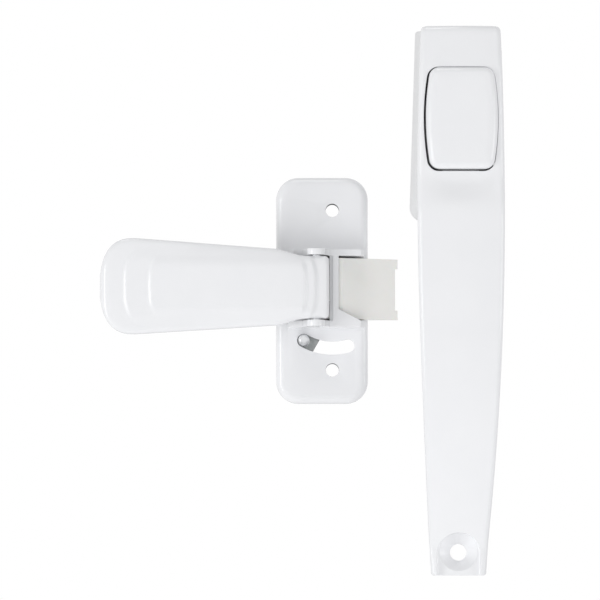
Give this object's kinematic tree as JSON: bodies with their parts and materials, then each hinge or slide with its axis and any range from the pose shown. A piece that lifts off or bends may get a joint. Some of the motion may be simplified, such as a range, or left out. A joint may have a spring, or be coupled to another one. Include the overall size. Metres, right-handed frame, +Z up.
{
  "type": "push button door handle set",
  "caption": "White pull handle with a sprung push button and door plunger, beside its inside latch with a pull lever, sprung sliding bolt and swinging lock pin.",
  "frame": {"origin": "where the plunger's axis crosses the door's outside face, midway between the handle's two tapped screw holes", "axes": "+Z up along the handle, +Y into the door, +X to the right as the handle is seen from the front"},
  "size_m": [0.112, 0.065, 0.1519],
  "materials": {
    "white_paint": "smooth gloss white paint on a zinc die casting",
    "ivory_nylon": "moulded ivory nylon",
    "zinc_steel": "bright zinc plate",
    "spring_steel": "drawn spring wire",
    "lock_steel": "dull grey steel"
  },
  "bodies": {
    "fixed": {"handle_casting": "white_paint", "retainer_plate": "zinc_steel", "retainer_screws": "zinc_steel", "button_spring": "spring_steel", "latch_base": "white_paint", "lever_pin": "zinc_steel", "bolt_spring": "spring_steel", "lock_washer": "spring_steel", "back_cover": "zinc_steel", "cover_screws": "zinc_steel"},
    "button": {"push_button": "white_paint", "plunger_bar": "zinc_steel", "plunger_pin": "zinc_steel"},
    "lever_arm": {"lever": "white_paint"},
    "bolt": {"latch_bolt": "ivory_nylon"},
    "lock": {"lock_plate": "lock_steel", "lock_pin": "lock_steel"}
  },
  "joints": [
    {"name": "button_press", "type": "slide", "parent": "fixed", "child": "button", "axis": [0, 1, 0], "range_m": [0, 0.008], "stiffness_N_per_m": 400, "springref_m": -0.005, "deforming": ["button_spring"]},
    {"name": "lever_swing", "type": "hinge", "parent": "fixed", "child": "lever_arm", "pos_m": [-0.0394, -0.0138, -0.0448], "axis": [0, 0, 1], "range_deg": [0, 50]},
    {"name": "bolt_slide", "type": "slide", "parent": "fixed", "child": "bolt", "axis": [-1, 0, 0], "range_m": [0, 0.0072], "stiffness_N_per_m": 150, "springref_m": -0.01, "deforming": ["bolt_spring"]},
    {"name": "lock_swing", "type": "hinge", "parent": "fixed", "child": "lock", "pos_m": [-0.0349, 0, -0.0448], "axis": [0, -1, 0], "range_deg": [0, 45]}
  ],
  "couplings": [
    {"joint": "bolt_slide", "follows": "lever_swing", "m_per_rad": 0.00802}
  ]
}
